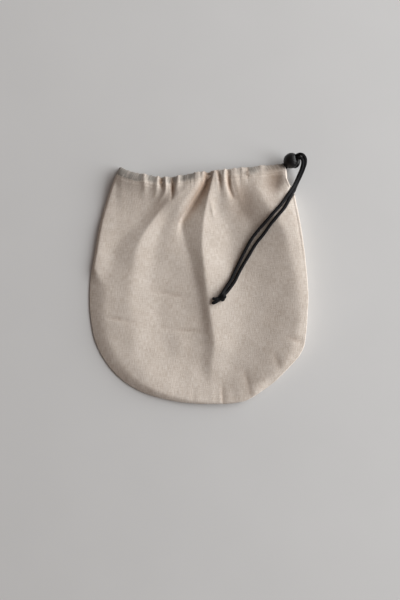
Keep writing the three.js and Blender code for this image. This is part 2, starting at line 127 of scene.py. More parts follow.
mouth_line = smooth_line(MOUTH_EDGE, EDGE_POINTS)
left_line = smooth_line(LEFT_EDGE, EDGE_POINTS)
bottom_line = smooth_line(BOTTOM_EDGE, EDGE_POINTS)
right_line = smooth_line(RIGHT_EDGE, EDGE_POINTS)
sewn_line = np.vstack([left_line, bottom_line[1:], right_line[-2::-1]])
bag_length = along_line(mouth_line, 0.5)[1] - along_line(bottom_line, 0.5)[1]
bag_width = mouth_line[-1, 0] - mouth_line[0, 0]


def place_on_bag(across, down):
    """Where the cloth lies, by the share of the way across it and down from the mouth to the bottom."""
    lengthwise = between(along_line(mouth_line, across), along_line(bottom_line, across), down[:, None])
    crosswise = between(along_line(left_line, down), along_line(right_line, down), across[:, None])
    mouth_chord = between(mouth_line[0], mouth_line[-1], across[:, None])
    bottom_chord = between(bottom_line[0], bottom_line[-1], across[:, None])
    return lengthwise + crosswise - between(mouth_chord, bottom_chord, down[:, None])


# The long folds, from left to right: the crests and troughs that run down the bag. Each has how rounded it is
# at the mouth and at the bottom, then its path from the mouth down, as places across, up and above the table.
# All of them are in millimetres.
MM = 0.001
LONG_FOLDS = {
    "left shoulder": (2.5, 4, [
        (-93, 138, 11.5), (-102, 92, 7.4), (-112, 61, 7.6), (-116, 23, 7.2), (-116, -23, 7.4),
        (-112, -70, 7.2), (-100, -93, 6.8), (-79, -116, 6.8), (-67, -139, 6)]),
    "left hollow": (5, 8, [
        (-30, 138, 13), (-34, 115, 9.5), (-54, 92, 7.6), (-70, 72, 7.6), (-94, 46, 5.2), (-99, 23, 5.6),
        (-105, 0, 8.2), (-104, -47, 8.6), (-93, -93, 7.6), (-72, -116, 7.8), (-60, -139, 6.5)]),
    "first ridge": (1.2, 6, [
        (-3, 138, 19), (-8, 115, 18), (-20, 104, 16.6), (-37, 92, 13.6), (-53, 72, 12.4),
        (-69, 46, 11.8), (-77, 0, 11.4), (-75, -47, 11.2), (-72, -82, 9.8), (-56, -116, 9.6),
        (-44, -139, 8)]),
    "hollow beside it": (3, 8, [
        (0, 138, 19.6), (-4, 115, 18.4), (-24, 92, 15), (-39, 72, 8.5), (-48, 46, 7.4), (-52, 10, 7.2),
        (-47, -23, 7.2), (-38, -70, 6.4), (-25, -116, 8), (-20, -139, 7)]),
    "second ridge": (2.5, 8, [
        (4, 138, 20.6), (-1, 115, 19.4), (-19, 92, 16), (-29, 72, 9.6), (-35, 46, 8.8), (-31, 10, 8.2),
        (-27, -35, 8), (-21, -70, 8.4), (-18, -93, 7), (-9, -139, 7)]),
    "lip of the pocket": (0.5, 8, [
        (11, 138, 19.8), (6, 115, 18.2), (-9, 92, 14.8), (-21.5, 72, 9.8), (-26, 46, 9.2), (-20, 23, 9.6),
        (-15, -23, 8.6), (-9, -70, 7.4), (-7, -93, 7), (3, -139, 7)]),
    "pocket and foot of the wall": (1.2, 4, [
        (13, 138, 14), (8, 115, 10.5), (-7, 92, 5.4), (-19, 72, 6.4), (-13, 46, 8.6), (-7, 23, 10.2),
        (3, -23, 9.9), (7, -70, 8.8), (4, -93, 6.7), (12, -139, 7)]),
    "centre ridge": (0.8, 2.2, [
        (20, 138, 20), (15, 115, 17.4), (10, 92, 14.8), (6.5, 72, 15), (5, 46, 16), (7, 23, 17),
        (12, -23, 16), (16, -47, 15), (19, -70, 13.4), (16, -93, 9.6), (16, -116, 6.8), (19, -139, 7)]),
    "hollow under the strands": (5, 12, [
        (33, 138, 17.5), (30, 115, 13.5), (23, 92, 10.6), (33, 72, 8.4), (40, 46, 8), (43, 23, 8.4),
        (50, 0, 10.8), (48, -47, 10.2), (40, -93, 7.2), (32, -116, 6.4), (32, -139, 7)]),
    "foot of the right ridge": (3, 12, [
        (43, 138, 17), (44, 115, 12.6), (49, 92, 12.4), (60, 72, 11.2), (68, 46, 12), (68, 23, 13),
        (68, 0, 13), (68, -47, 11.8), (56, -93, 9.4), (46, -116, 8), (46, -139, 7.5)]),
    "right ridge": (3, 6, [
        (66, 138, 17), (67, 115, 16.2), (79, 92, 21.2), (98, 61, 21), (108, 23, 22.6), (113, 0, 23),
        (115, -47, 21.4), (98, -93, 17.4), (71, -116, 12.6), (66, -139, 8)]),
    "right shoulder": (3, 3, [
        (92, 138, 14.4), (103, 115, 15.6), (104, 92, 18.2), (115, 46, 20.4), (121, 0, 21.4), (121, -47, 20),
        (106, -93, 15.4), (82, -116, 9), (79, -139, 7)]),
}
LEFT_SLOPE, RIGHT_SLOPE = 0.1, -0.2
LONG_FOLD_POINTS = 161
# The place up the bag down to which a fold is rounded as at the mouth, and from which it is as at the bottom.
MOUTH_ROUNDING, BOTTOM_ROUNDING = 0.08, -0.02
# Each short fold, crease or pucker: its heights from its start to its end, its reach to the left and right,
# how rounded its crest is, from 1 for a sharp crease to 3 for a flat roll, and its path. A trough's heights
# are below 0.
FOLDS = [
    ((-0.0016, -0.003, -0.0006), 0.0022, 0.0018, 2, [(-0.0425, 0.1235), (-0.0412, 0.11)]),
    ((-0.0016, -0.003, -0.0008), 0.002, 0.0018, 2, [(-0.0293, 0.1235), (-0.029, 0.107), (-0.0298, 0.098)]),
    ((-0.002, -0.003, -0.0024, -0.0016, -0.0004), 0.005, 0.005, 2,
     [(0.0115, 0.129), (0.0075, 0.115), (-0.0035, 0.098), (-0.0145, 0.08), (-0.021, 0.066)]),
    ((-0.0003, -0.0006, -0.0005, -0.0002), 0.006, 0.006, 2,
     [(-0.03, 0.106), (-0.038, 0.097), (-0.049, 0.086), (-0.062, 0.07)]),
    ((-0.0016, -0.002, -0.0004), 0.002, 0.0018, 2, [(0.0222, 0.131), (0.0248, 0.12), (0.0259, 0.108)]),
    ((-0.0016, -0.0025, -0.0007), 0.0022, 0.0018, 2,
     [(0.0345, 0.131), (0.0352, 0.1197), (0.037, 0.1105), (0.0404, 0.1014)]),
    ((-0.001, -0.0014, -0.0004), 0.0018, 0.002, 2, [(0.0575, 0.1345), (0.0564, 0.122)]),
    ((-0.001, -0.002, -0.0016, -0.0004), 0.015, 0.006, 2,
     [(0.092, 0.135), (0.091, 0.124), (0.088, 0.114), (0.084, 0.1)]),
    ((0.0006, 0.0012, 0.0004), 0.0035, 0.0028, 1.8, [(-0.0605, 0.1265), (-0.0605, 0.115), (-0.062, 0.104)]),
    ((0.0008, 0.0016, 0.0004), 0.004, 0.0026, 1.8, [(-0.0455, 0.124), (-0.0465, 0.112), (-0.05, 0.1)]),
    ((0.001, 0.0024, 0.0016, 0.0003), 0.003, 0.0026, 1.8,
     [(-0.0372, 0.1242), (-0.0362, 0.115), (-0.0375, 0.106), (-0.044, 0.096)]),
    ((0.0012, 0.0016, 0.0003), 0.0035, 0.0024, 1.8, [(-0.0222, 0.1255), (-0.0225, 0.116), (-0.024, 0.107)]),
    ((0.0016, 0.0014, 0.0002), 0.006, 0.005, 1.6, [(0.0299, 0.1234), (0.0333, 0.1052), (0.0379, 0.087)]),
    ((0.0014, 0.0008, 0.0002), 0.004, 0.004, 1.6, [(0.0419, 0.1236), (0.047, 0.1054), (0.0516, 0.0894)]),
    ((-0.0006, -0.0014, -0.0013, -0.0003), 0.016, 0.011, 2,
     [(0.043, 0.116), (0.049, 0.104), (0.054, 0.092), (0.063, 0.079)]),
    ((0.002, 0.0045, 0.0045, 0.002), 0.011, 0.0022, 1.5,
     [(0.1, 0.133), (0.1005, 0.122), (0.1035, 0.117), (0.107, 0.112)]),
    ((-0.0003, -0.0009, -0.0004), 0.0013, 0.0013, 1.3,
     [(-0.1082, -0.0379), (-0.0909, -0.0402), (-0.0736, -0.0437)]),
    ((-0.0003, -0.0009, -0.0003), 0.0013, 0.0013, 1.3,
     [(-0.0527, -0.0073), (-0.032, -0.0108), (-0.0101, -0.0142)]),
    ((-0.0003, -0.0009, -0.0004), 0.0013, 0.0013, 1.3,
     [(-0.0436, -0.05), (-0.0159, -0.0529), (0.0095, -0.0546)]),
    ((0.0003, 0.001, 0.0003), 0.0018, 0.003, 1.3, [(0.0146, 0.0965), (0.0163, 0.0873), (0.0186, 0.0771)]),
    ((-0.0003, -0.0008, -0.001), 0.0018, 0.0028, 1.5, [(0.0281, -0.1175), (0.0291, -0.1361)]),
    ((-0.0003, -0.0008, -0.0006), 0.005, 0.0035, 1.5,
     [(0.0547, -0.0988), (0.0582, -0.1139), (0.0617, -0.1289)]),
    ((-0.0003, -0.0008, -0.0005), 0.004, 0.0032, 1.5, [(0.0883, -0.0803), (0.0941, -0.0942)]),
    ((-0.0003, -0.001, -0.0008), 0.003, 0.003, 1.5, [(0.1023, -0.0594), (0.1173, -0.0652)]),
]
FOLD_POINTS = 33
# The trough depth at which a crease's painted shade is full.
FULL_CREASE_SHADE_DEPTH = 0.003
# Each gather that stands up across the hem: its place across the mouth and its reach to each side.
GATHERS = [
    (-0.0607, 0.003), (-0.0455, 0.0025), (-0.0365, 0.0028), (-0.0222, 0.0026), (-0.0008, 0.0034),
    (0.0062, 0.0024), (0.0198, 0.004), (0.0312, 0.003), (0.0418, 0.0045), (0.0516, 0.0042), (0.0736, 0.004),
]
# How far the drawstring in the hem lifts the folds at the mouth, in millimetres by the place across.
LIFT_PLACES = [-95, -88, -75, -60, -30, -10, 5, 20, 30, 45, 60, 95]
LIFTS = [2, 5.5, 8, 9, 8.5, 5, 3, 2.5, 4.5, 3.5, 1.5, 0]
LIFT_REACH = 0.017
LOWEST_FOLD = 0.005
HEM_ROLL = 0.0065
GATHER_RISE, GATHER_REACH = 0.0009, 0.014
GATHER_HOLD = 0.25
# The seam's height and how far the cloth takes to rise from it, by the share of the way round from the left
# corner of the mouth, then the share up to which it rises as a slope and the one from which as a round wall.
SEAM_MARKS = [0, 0.18, 0.21, 0.33, 0.4, 0.46, 0.5, 0.65, 0.86, 0.93, 0.97, 1]
SEAM_HEIGHTS = [0.003, 0.002, 0.0018, 0.0018, 0.0018, 0.0028, 0.0045, 0.0104, 0.0104, 0.0088, 0.0084, 0.0045]
SHOULDERS = [0.0045, 0.0045, 0.022, 0.019, 0.013, 0.008, 0.004, 0.0016, 0.0016, 0.002, 0.0018, 0.003]
SLOPE_UNTIL, WALL_FROM = 0.45, 0.6
# Puckers along the seam, crimps along the hem, the groove of the hem's stitches, the crease beside the right
# seam and the slack of the cloth. A wave has its rate, its sway and the sway's own rate and start, and a wave
# of the slack has its rates across and up and its start.
EDGE_FADE = 0.01
PUCKER_HEIGHT, PUCKER_REACH = 0.00015, 0.006
PUCKER_WAVE, PUCKER_GROUPS = (310, 4, 37), 91
CRIMP_HEIGHT, CRIMP_REACH = 0.00012, 0.004
CRIMP_WAVE, FINE_CRIMP_WAVE, FINE_CRIMPS = (1300, 2, 210), (2100, 3, 330, 1), 0.6
CRIMPED_TO, PLAIN_FROM = 0.05, 0.085
GROOVE_DEPTH, GROOVE_REACH = 0.0006, 0.0012
CREASE_DEPTH, CREASE_PLACE, CREASE_REACH = 0.0003, 0.0042, 0.001
CREASE_ACROSS, CREASE_UP = (0.08, 0.1), (0, 0.06)
SLACK_HEIGHT, SLACK_FADE = 0.00012, 0.02
SLACK_WAVES = [(190, 61, 0), (-47, 143, 1), (83, -171, 2)]

fold_lines = [smooth_line(path, FOLD_POINTS) for *_, path in FOLDS]
long_folds = [MM * smooth_line(path, LONG_FOLD_POINTS) for *_, path in LONG_FOLDS.values()]


def fold_height(x, y):
    """Height of the long folds: straight from each crest or trough to the next, with every bend rounded."""
    places = [np.interp(-y, -line[:, 1], line[:, 0]) for line in long_folds]
    levels = [np.interp(-y, -line[:, 1], line[:, 2]) for line in long_folds]
    slopes = [LEFT_SLOPE]
    slopes += [(levels[i + 1] - levels[i]) / (places[i + 1] - places[i]) for i in range(len(places) - 1)]
    slopes.append(RIGHT_SLOPE)
    height = levels[0] + LEFT_SLOPE * (x - places[0])
    below = smoothstep(-y, -MOUTH_ROUNDING, -BOTTOM_ROUNDING)
    for i, (upper, lower, _) in enumerate(LONG_FOLDS.values()):
        past = x - places[i]
        rounding = MM * between(upper, lower, below)
        height += (slopes[i + 1] - slopes[i]) * (past + np.hypot(past, rounding)) / 2
    return height


def gathers(x):
    """How far a place across the mouth stands in a gather, from 0 to 1."""
    return np.minimum(sum(np.exp(-(((x - place) / reach) ** 2)) for place, reach in GATHERS), 1)


def short_folds(x, y):
    """Height of the short folds, and how deep in one of their troughs a place lies, from 0 to 1, which sets
    its painted shade.
    """
    height, painted_crease_shade = np.zeros_like(x), np.zeros_like(x)
    for (heights, left, right, point, _), line in zip(FOLDS, fold_lines):
        distance, along, side = nearest_on(line, x, y)
        level = np.interp(along, np.linspace(0, 1, len(heights)), heights)
        share = np.exp(-((distance / between(left, right, (side + 1) / 2)) ** point))
        height += level * share
        painted_crease_shade += np.clip(-level / FULL_CREASE_SHADE_DEPTH, 0, 1) * share
    return height, np.minimum(painted_crease_shade, 1)


def front_height(x, y):
    """Height of the front panel's outer face above the table."""
    edge, along_seam, _ = nearest_on(sewn_line, x, y)
    mouth = nearest_on(mouth_line, x, y)[0]
    below_hem = np.maximum(mouth - HEM, 0)
    in_from_edge = smoothstep(edge, 0, EDGE_FADE)
    lift = MM * np.interp(x / MM, LIFT_PLACES, LIFTS)
    height = fold_height(x, y) + lift * np.exp(-below_hem / LIFT_REACH) + short_folds(x, y)[0]
    height += GATHER_RISE * gathers(x) * np.exp(-mouth / GATHER_REACH)
    height = np.maximum(height, LOWEST_FOLD)
    height -= HEM_ROLL * (1 - GATHER_HOLD * gathers(x)) * np.maximum(1 - mouth / HEM, 0) ** 2
    inward = np.minimum(edge / np.interp(along_seam, SEAM_MARKS, SHOULDERS), 1)
    slope = 1 - (1 - inward) ** 2
    rise = between(slope, np.sqrt(slope), smoothstep(along_seam, SLOPE_UNTIL, WALL_FROM))
    height = between(np.interp(along_seam, SEAM_MARKS, SEAM_HEIGHTS), height, rise)
    pucker = uneven_wave(along_seam, *PUCKER_WAVE) * np.sin(along_seam * PUCKER_GROUPS + 1)
    height += PUCKER_HEIGHT * pucker * (edge / PUCKER_REACH) * np.exp(1 - edge / PUCKER_REACH)
    crimp = uneven_wave(x, *CRIMP_WAVE) + FINE_CRIMPS * uneven_wave(x, *FINE_CRIMP_WAVE)
    crimp *= smoothstep(x, -PLAIN_FROM, -CRIMPED_TO) * (1 - smoothstep(x, CRIMPED_TO, PLAIN_FROM))
    height += CRIMP_HEIGHT * crimp * np.exp(-below_hem / CRIMP_REACH) * in_from_edge
    height -= GROOVE_DEPTH * np.exp(-(((mouth - HEM) / GROOVE_REACH) ** 2)) * in_from_edge
    crease = np.exp(-(((edge - CREASE_PLACE) / CREASE_REACH) ** 2))
    height -= CREASE_DEPTH * crease * smoothstep(x, *CREASE_ACROSS) * smoothstep(y, *CREASE_UP)
    first, second, third = (np.sin(x * across + y * up + start) for across, up, start in SLACK_WAVES)
    return height + SLACK_HEIGHT * (first * second + third) * smoothstep(edge, 0, SLACK_FADE)


# The drawstring's routes from the lock: its two free ends to the knot, and its run in the hems, through the
# front one to the left corner and back through the rear one.
UPPER_STRAND = [
    (0.1054, 0.139, 0.0083), (0.1094, 0.1415, 0.0128), (0.1127, 0.1441, 0.0165),
    (0.1154, 0.1448, 0.0189), (0.1182, 0.1433, 0.0199), (0.1197, 0.1402, 0.0194),
    (0.1197, 0.1366, 0.0174), (0.119, 0.1323, 0.0142), (0.1174, 0.128, 0.0117),
    (0.1153, 0.1228, 0.01), (0.1128, 0.1174, 0.0104), (0.1092, 0.1114, 0.0136),
    (0.1046, 0.1046, 0.0174), (0.0994, 0.0972, 0.0198), (0.0941, 0.0901, 0.0213),
    (0.0862, 0.0815, 0.022), (0.0786, 0.0727, 0.02), (0.0691, 0.0621, 0.0168),
    (0.061, 0.051, 0.0145), (0.0525, 0.0351, 0.0131), (0.0446, 0.0189, 0.0134),
    (0.0385, 0.0061, 0.0152), (0.0324, -0.0035, 0.0174), (0.0301, -0.0069, 0.0184),
]
LOWER_STRAND = [
    (0.105, 0.1429, 0.0066), (0.1094, 0.1455, 0.0118), (0.1137, 0.148, 0.0168),
    (0.1168, 0.1484, 0.0194), (0.1201, 0.1467, 0.0207), (0.1224, 0.1432, 0.02),
    (0.1231, 0.1394, 0.0174), (0.1227, 0.1358, 0.0138), (0.1215, 0.1316, 0.0106),
    (0.1192, 0.1256, 0.0074), (0.1164, 0.1194, 0.0054), (0.1139, 0.1138, 0.0064),
    (0.1116, 0.109, 0.0098), (0.1084, 0.1045, 0.0142), (0.1036, 0.096, 0.0186),
    (0.0988, 0.0876, 0.0208), (0.0913, 0.0786, 0.022), (0.0833, 0.069, 0.0202),
    (0.0752, 0.0574, 0.0169), (0.0668, 0.0469, 0.0148), (0.058, 0.0322, 0.0138),
    (0.049, 0.0168, 0.0134), (0.0425, 0.0039, 0.0147), (0.0354, -0.006, 0.016),
    (0.0329, -0.0088, 0.0166),
]
HEM_CORD = [
    (0.1051, 0.1388, 0.008), (0.1033, 0.1378, 0.0059), (0.101, 0.1363, 0.0049),
    (0.0976, 0.1348, 0.0065), (0.091, 0.1334, 0.0089), (0.08, 0.1312, 0.0114),
    (0.064, 0.1286, 0.0145), (0.044, 0.1262, 0.0149), (0.02, 0.1236, 0.0149),
    (0.0, 0.122, 0.0149), (-0.02, 0.118, 0.0149), (-0.042, 0.1157, 0.0149),
    (-0.06, 0.1186, 0.0149), (-0.072, 0.1228, 0.0122), (-0.08, 0.1264, 0.0098),
    (-0.0848, 0.1286, 0.0084), (-0.087, 0.1296, 0.006), (-0.0848, 0.1286, 0.0037),
    (-0.08, 0.1264, 0.0029), (-0.07, 0.1221, 0.0029), (-0.058, 0.118, 0.0029),
    (-0.042, 0.1157, 0.0029), (-0.02, 0.118, 0.0029), (0.0, 0.122, 0.0029),
    (0.024, 0.124, 0.0029), (0.05, 0.1268, 0.0029), (0.074, 0.1302, 0.0029),
    (0.086, 0.1328, 0.0029), (0.0934, 0.1362, 0.0029), (0.098, 0.1396, 0.0029),
    (0.102, 0.1414, 0.0036), (0.1047, 0.1428, 0.0064),
]
CORD = 0.004
HEM_OVER_CORD, HEM_UNDER_CORD, HEM_DEPTH = 0.0009, 0.0006, 0.0022
# The run in the front hem, from the left corner to the right one.
front_run = np.array(HEM_CORD[15:1:-1])
front_run_line = smooth_line(front_run, EDGE_POINTS)


def over_cord(x, y, top):
    """The hem's outer face, held up where it passes over the drawstring."""
    beside, along, _ = nearest_on(front_run_line[:, :2], x, y)
    crown = np.interp(along, np.linspace(0, 1, len(front_run_line)), front_run_line[:, 2])
    reach = CORD / 2 + HEM_OVER_CORD
    held = crown + np.sqrt(np.maximum(reach**2 - beside**2, 0))
    return np.where(beside < reach, np.maximum(top, held), top)


STRAND_POINTS = 161
STRAND_GAP, STRAND_DENT = 0.0003, 0.0025
strand_lines = [smooth_line(route, STRAND_POINTS) for route in (UPPER_STRAND, LOWER_STRAND)]


def under_strands(x, y, top):
    """The front panel's outer face, pressed down where the free strands lie on it."""
    for line in strand_lines:
        beside, along, _ = nearest_on(line[:, :2], x, y)
        level = np.interp(along, np.linspace(0, 1, len(line)), line[:, 2])
        top = np.minimum(top, level - CORD / 2 - STRAND_GAP + beside**2 / STRAND_DENT)
    return top


def front_top(x, y):
    """Height of the front panel's outer face, over the drawstring and under the free strands."""
    return under_strands(x, y, over_cord(x, y, front_height(x, y)))


def hem_underside(x, top):
    """Height of the layer of the front hem that is turned in under the drawstring."""
    under_cord = np.interp(x, front_run[:, 0], front_run[:, 2]) - CORD / 2 - HEM_UNDER_CORD
    return np.minimum(under_cord, top - HEM_DEPTH)


HEM_NOSE = 0.0028
GATHER_SPREAD = 0.06


def rolled_mouth(face, middle, below):
    """Height of a hem's face, drawn in round the fold at the mouth to the middle of its two layers."""
    nose = np.minimum(below / HEM_NOSE, 1)
    return np.where(below < HEM_NOSE, middle + (face - middle) * np.sqrt(1 - (1 - nose) ** 2), face)


def flat_places(place, below):
    """Places on the flat piece of cloth, which is wider at the mouth by what the gathers take up."""
    widening = between(1, CUT_WIDTH / MOUTH_WIDTH, np.exp(-below / GATHER_SPREAD))
    return np.stack([place[:, 0] * widening, place[:, 1]], axis=1)


def cloth_grid(columns, rows):
    """A flat grid to lay as cloth, with each vertex's share across and its row from the top."""
    bm = bmesh.new()
    bmesh.ops.create_grid(bm, x_segments=columns, y_segments=rows, size=1)
    spots = np.array([vertex.co for vertex in bm.verts])
    return bm, (spots[:, 0] + 1) / 2, np.rint((1 - spots[:, 1]) / 2 * rows)


def place_vertices(bm, places, flat, marks=None):
    """Moves a grid's vertices to their places, with their named marks, and maps it as on the flat piece."""
    for name, shares in (marks or {}).items():
        layer = bm.verts.layers.float.new(name)
        for vertex, share in zip(bm.verts, shares):
            vertex[layer] = share
    for vertex, place in zip(bm.verts, places):
        vertex.co = place
    layer = bm.loops.layers.uv.new("flat")
    bm.verts.index_update()
    for face in bm.faces:
        face.smooth = True
        for loop in face.loops:
            loop[layer].uv = flat[loop.vert.index]


def add_piece(name, bm, finish):
    """Makes a mesh object of a bmesh, with its finish."""
    mesh = bpy.data.meshes.new(name)
    bm.to_mesh(mesh)
    bm.free()
    mesh.materials.append(finish)
    piece = bpy.data.objects.new(name, mesh)
    bpy.context.scene.collection.objects.link(piece)
    return piece


def thicken(panel):
    """Gives a panel the thickness of the cloth, inward from its face."""
    thickness = panel.modifiers.new("cloth", "SOLIDIFY")
    thickness.thickness = CLOTH
    thickness.offset = -1


class Shade:
    """A value in a finish's shader: arithmetic on it adds Math nodes."""

    def __init__(self, tree, socket=None):
        self.tree = tree
        self.socket = socket

    def add(self, kind, settings=None, inputs=None, output=0):
        """Adds a node of a kind, with its settings, then its sockets' values or links."""
        node = self.tree.nodes.new("ShaderNode" + kind)
        for name, value in (settings or {}).items():
            setattr(node, name, value)
        for name, value in (inputs or {}).items():
            if isinstance(value, Shade):
                self.tree.links.new(value.socket, node.inputs[name])
            else:
                node.inputs[name].default_value = value
        return Shade(self.tree, node.outputs[output] if node.outputs else None)

    def maths(self, operation, *values):
        """Adds a Math node."""
        return self.add("Math", {"operation": operation}, dict(enumerate(values)))

    def __add__(self, other):
        return self.maths("ADD", self, other)

    def __sub__(self, other):
        return self.maths("SUBTRACT", self, other)

    def __rsub__(self, other):
        return self.maths("SUBTRACT", other, self)

    def __mul__(self, other):
        return self.maths("MULTIPLY", self, other)

    __radd__ = __add__
    __rmul__ = __mul__

    def sine(self):
        return self.maths("SINE", self)

    def ramp(self, start, end):
        """0 below start and 1 above end."""
        return self.add("MapRange", {"interpolation_type": "SMOOTHSTEP"},
                        {"Value": self, "From Min": start, "From Max": end})

    def tint(self, first, second):
        """A colour from first, at 0, to second, at 1."""
        return self.add("Mix", {"data_type": "RGBA"}, {"Factor": self, 6: first, 7: second}, output=2)


def new_finish(name):
    """An empty finish and a place to start its shader."""
    finish = bpy.data.materials.new(name)
    finish.use_nodes = True
    finish.node_tree.nodes.clear()
    return finish, Shade(finish.node_tree)


def end_finish(start, surface, bump_height, bump_depth):
    """Closes a finish: its surface, with the bump that shapes it, goes to the output."""
    normal = start.add("Bump", {}, {"Height": bump_height, "Distance": bump_depth})
    shader = start.add("BsdfPrincipled", {}, {**surface, "Normal": normal})
    start.add("OutputMaterial", {}, {"Surface": shader})


COTTON_PALE = (0.755, 0.687, 0.618, 1)
COTTON_WARM = (0.575, 0.49, 0.412, 1)
# Painted shade colours: the darker tones of the hem, then the brown of deep creases.
COTTON_HEM_SHADE_DARK = (0.2, 0.182, 0.16, 1)
COTTON_HEM_SHADE_PALE = (0.27, 0.25, 0.225, 1)
COTTON_CREASE_SHADE = (0.34, 0.225, 0.15, 1)
COTTON_FLECK = (0.3, 0.2, 0.12, 1)
WEAVE = 0.0011
SLUBS_ALONG, SLUBS_ACROSS = 140, 1300
CREASE_SHADE_TINT, FLECK_TINT = 0.85, 0.6


def cotton_finish(name):
    """Unbleached plain weave: crossing threads with slubs, cloudy tint and a few seed flecks, with painted
    shade on the hem and in deep creases.
    """
    finish, start = new_finish(name)
    flat = start.add("UVMap", {"uv_map": "flat"})
    split = {"Vector": flat}
    u = start.add("SeparateXYZ", {}, split, output="X")
    v = start.add("SeparateXYZ", {}, split, output="Y")
    turn = 2 * math.pi / WEAVE
    weave = (u * turn).sine() * (v * turn).sine()

    def stretched_noise(scale_u, scale_v, detail):
        place = start.add("CombineXYZ", {}, {"X": u * scale_u, "Y": v * scale_v})
        return start.add("TexNoise", {}, {"Vector": place, "Scale": 1.0, "Detail": detail})

    weft_slubs = stretched_noise(SLUBS_ALONG, SLUBS_ACROSS, 2.0)
    warp_slubs = stretched_noise(SLUBS_ACROSS, SLUBS_ALONG, 2.0)
    cloud = stretched_noise(38, 30, 3.0)
    seeds = start.add("TexVoronoi", {}, {"Vector": flat, "Scale": 160.0})
    fleck = 1 - seeds.ramp(0.05, 0.10)
    rare = stretched_noise(70, 70, 0.0).ramp(0.62, 0.70)
    threads = weft_slubs * 0.4 + warp_slubs * 0.6
    shade = threads.ramp(0.38, 0.62) * 0.8 + cloud.ramp(0.3, 0.7) * 0.2
    streaks = stretched_noise(420, 50, 1.0).ramp(0.3, 0.6)
    # Painted shade on the hem, broken by streaks.
    painted_shade_and_highlight = start.add("Attribute", {"attribute_name": "painted_shade_and_highlight"}, output="Fac") * (streaks * 0.35 + 0.65)
    # Painted shade: deep troughs of the short folds are tinted brown.
    painted_crease_shade = start.add("Attribute", {"attribute_name": "painted_crease_shade"}, output="Fac") * CREASE_SHADE_TINT
    colour = painted_shade_and_highlight.tint(shade.tint(COTTON_WARM, COTTON_PALE), shade.tint(COTTON_HEM_SHADE_DARK, COTTON_HEM_SHADE_PALE))
    colour = painted_crease_shade.tint(colour, COTTON_CREASE_SHADE)
    colour = (fleck * rare * FLECK_TINT).tint(colour, COTTON_FLECK)
    surface = {"Base Color": colour, "Roughness": 0.92, "Sheen Weight": 0.15, "Sheen Roughness": 0.5,
               "Specular IOR Level": 0.2}
    end_finish(start, surface, weave * 0.25 + threads, 0.00025)
    return finish


cotton = cotton_finish("unbleached cotton")

# How much painted shade darkens the hem, by the place across. The painted shade ends sharply at the left and
# softly elsewhere, and the crests of the gathers get less of it.
HEM_SHADE_PLACES = [-0.09, -0.06, -0.02, 0.005, 0.03, 0.06, 0.1]
HEM_SHADE = [1, 1, 1, 1, 0.8, 0.9, 1]
HEM_SHADE_SHARP, HEM_SHADE_SOFT = 0.001, 0.006
SHARP_TO, SOFT_FROM = -0.072, -0.055
CRESTS_LESS_SHADED = 0.7
# The grid's columns by their share across, and its rows from the turned-in edge up to the mouth and then down
# to the bottom, closer together where the cloth bends more.
FOLDED_LENGTH, BOTTOM_RISE = 0.1, 0.022
COLUMN_MARKS = [0, 12, 40, 180, 208, 220]
ACROSS_BAG = [0, 0.02, 0.22, 0.78, 0.98, 1]
ROW_MARKS = [0, 10, 28, 128, 190, 206]
BELOW_MOUTH = [HEM, 0, HEM, FOLDED_LENGTH, bag_length - BOTTOM_RISE, bag_length]
CRINKLE, CRINKLE_REACH = 0.0003, 0.005
CRINKLE_WAVE, FINE_CRINKLE_RATE, FINE_CRINKLES = (900, 2, 170), 1630, 0.7
GATHER_PUSH, MEAN_STAND = 0.0005, 0.4
CORNER = 0.04
TURNED_IN, TURNED_RISE = 0.0016, 0.004
bm, share, row = cloth_grid(COLUMN_MARKS[-1], ROW_MARKS[-1])
across = np.interp(share * COLUMN_MARKS[-1], COLUMN_MARKS, ACROSS_BAG)
below = np.interp(row, ROW_MARKS, BELOW_MOUTH)
place = place_on_bag(across, below / bag_length)
stand = gathers(place[:, 0])
crinkle = uneven_wave(place[:, 0], *CRINKLE_WAVE)
crinkle += FINE_CRINKLES * np.sin(place[:, 0] * FINE_CRINKLE_RATE + 1)
within = smoothstep(across, 0, CORNER) * smoothstep(1 - across, 0, CORNER)
push = CRINKLE * crinkle + GATHER_PUSH * (stand - MEAN_STAND)
place[:, 1] += push * np.exp(-below / CRINKLE_REACH) * within
top = front_top(place[:, 0], place[:, 1])
turned_in = smoothstep(below, HEM - TURNED_RISE, HEM)
under = between(hem_underside(place[:, 0], top), top - TURNED_IN, turned_in)
face = np.where(row < ROW_MARKS[1], under, top)
height = rolled_mouth(face, (top + under) / 2, below)
fade = between(HEM_SHADE_SHARP, HEM_SHADE_SOFT, smoothstep(place[:, 0], SHARP_TO, SOFT_FROM))
# Painted shade on the front hem, lighter on the crests of the gathers.
painted_shade_and_highlight = np.interp(place[:, 0], HEM_SHADE_PLACES, HEM_SHADE) * (1 - CRESTS_LESS_SHADED * stand)
painted_shade_and_highlight *= 1 - smoothstep(below, HEM - fade, HEM + HEM_SHADE_SHARP)
# Painted shade in the troughs of the short folds.
painted_crease_shade = short_folds(place[:, 0], place[:, 1])[1]
marks = {"painted_shade_and_highlight": painted_shade_and_highlight, "painted_crease_shade": painted_crease_shade}
place_vertices(bm, np.column_stack([place, height]), flat_places(place, below), marks)
front_panel = add_piece("front_panel_cloth", bm, cotton)
thicken(front_panel)
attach(front_panel, "bag")
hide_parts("front_panel")


# Rear panel: the second U of the same cotton, flat on the table under the front one, with a hem of its own
# at the mouth. Its edge curls up a little where the seam pulls it to the front panel.

